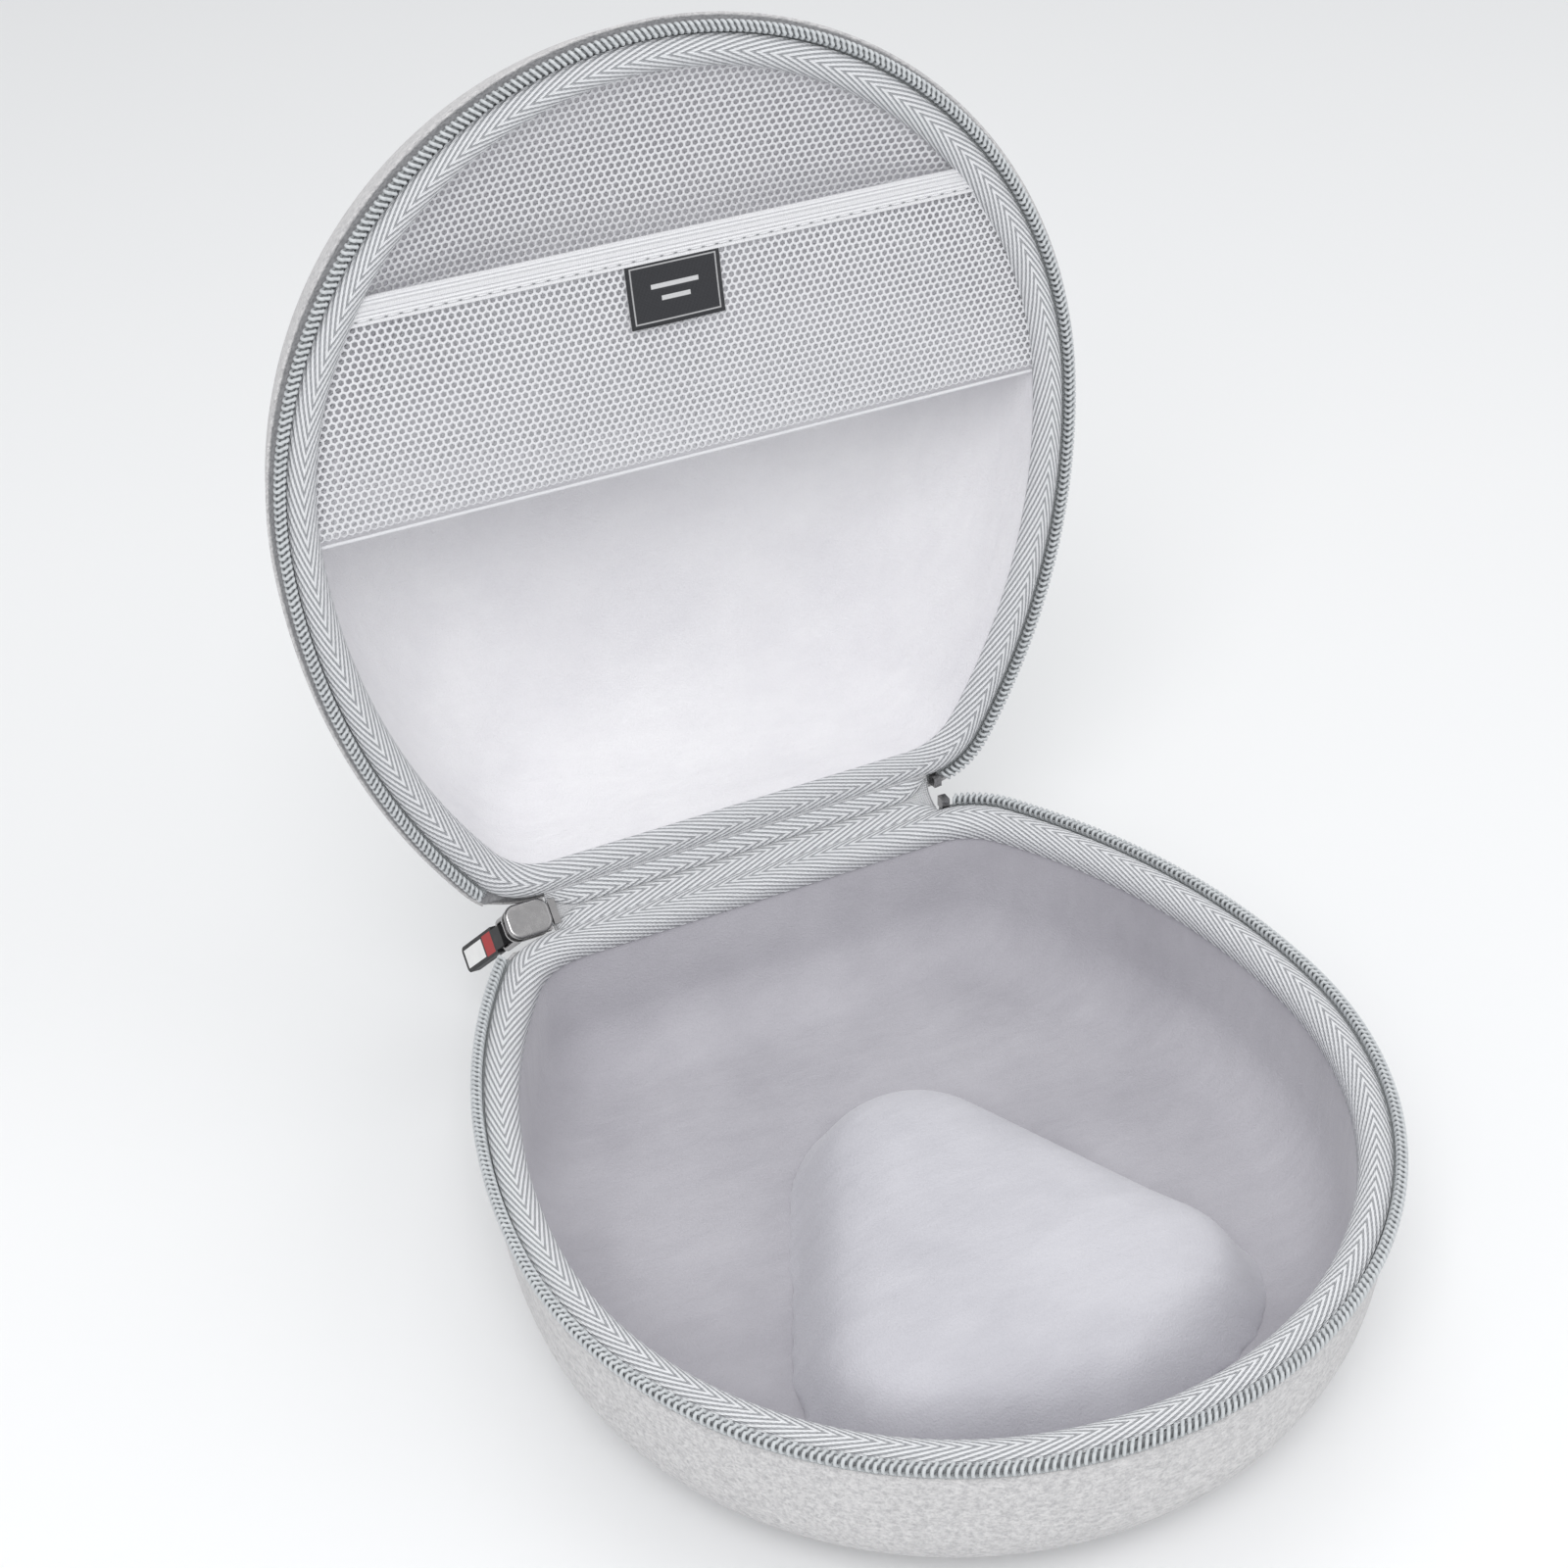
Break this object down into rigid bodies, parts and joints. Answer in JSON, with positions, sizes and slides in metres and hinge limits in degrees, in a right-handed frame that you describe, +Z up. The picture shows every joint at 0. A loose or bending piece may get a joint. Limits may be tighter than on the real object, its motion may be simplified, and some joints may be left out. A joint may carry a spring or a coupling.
{
  "type": "headphone carrying case",
  "caption": "Moulded D-shaped carrying case for headphones, shown open: lined tray with a raised pad, domed lid with a net pocket, coil zip and pull.",
  "frame": {"origin": "centre of the base's underside, midway across the case and midway from the front of the zip to its back", "axes": "+Z up, +Y towards the hinge, +X to the right seen from the front"},
  "size_m": [0.2132, 0.2848, 0.2643],
  "materials": {
    "cover_cloth": "matte",
    "moulded_foam": "matte",
    "pad_foam": "matte",
    "velour": "matte",
    "herringbone_tape": "satin",
    "zip_tape": "matte",
    "zip_coil": "satin",
    "zip_metal": "polished",
    "net": "matte",
    "hem_tape": "matte",
    "elastic": "matte",
    "label_cloth": "matte",
    "spring_steel": "satin",
    "tab_black": "satin",
    "tab_red": "satin",
    "tab_white": "satin"
  },
  "bodies": {
    "base": {"base_cover": "cover_cloth", "base_shell": "moulded_foam", "base_lining": "velour", "pad_core": "pad_foam", "base_binding": "herringbone_tape", "base_zip_tape": "zip_tape", "base_zip_chain": "zip_coil", "base_zip_stop": "zip_metal", "base_hinge_leaf": "cover_cloth"},
    "lid": {"lid_cover": "cover_cloth", "lid_shell": "moulded_foam", "lid_lining": "velour", "lid_binding": "herringbone_tape", "lid_zip_tape": "zip_tape", "lid_zip_chain": "zip_coil", "lid_zip_stop": "zip_metal", "lid_hinge_leaf": "cover_cloth", "pocket_back_net": "net", "pocket_front_net": "net", "pocket_hem": "hem_tape", "pocket_elastic": "elastic", "pocket_label": "label_cloth"},
    "zip_end": {"parked_zip_chain": "zip_coil", "zip_end_stop": "zip_metal"},
    "slider": {"slider_body": "zip_metal", "slider_bridge": "zip_metal", "slider_lock_spring": "spring_steel"},
    "link": {"pull_link": "zip_metal"},
    "tab": {"pull_tab": "tab_black", "pull_tab_block": "tab_red", "pull_tab_panel": "tab_white"}
  },
  "joints": [
    {"name": "lid_hinge", "type": "hinge", "parent": "base", "child": "lid", "pos_m": [0, 0.1074, 0.0515], "axis": [-1, 0, 0], "range_deg": [-97, 25]},
    {"name": "zip_end_twist", "type": "hinge", "parent": "base", "child": "zip_end", "pos_m": [0, 0.1074, 0.0515], "axis": [-1, 0, 0], "range_deg": [-48.5, 12.5]},
    {"name": "slider_slide", "type": "slide", "parent": "zip_end", "child": "slider", "axis": [-1, 0, 0], "range_m": [0, 0.003]},
    {"name": "link_swing", "type": "hinge", "parent": "slider", "child": "link", "pos_m": [-0.06395, 0.10972, 0.04888], "axis": [0, -0.749, -0.6626], "range_deg": [-66, 42]},
    {"name": "tab_swing", "type": "hinge", "parent": "link", "child": "tab", "pos_m": [-0.06627, 0.11589, 0.0419], "axis": [0, -0.749, -0.6626], "range_deg": [-60, 60]}
  ],
  "couplings": [
    {"joint": "zip_end_twist", "follows": "lid_hinge", "ratio": 0.5}
  ]
}
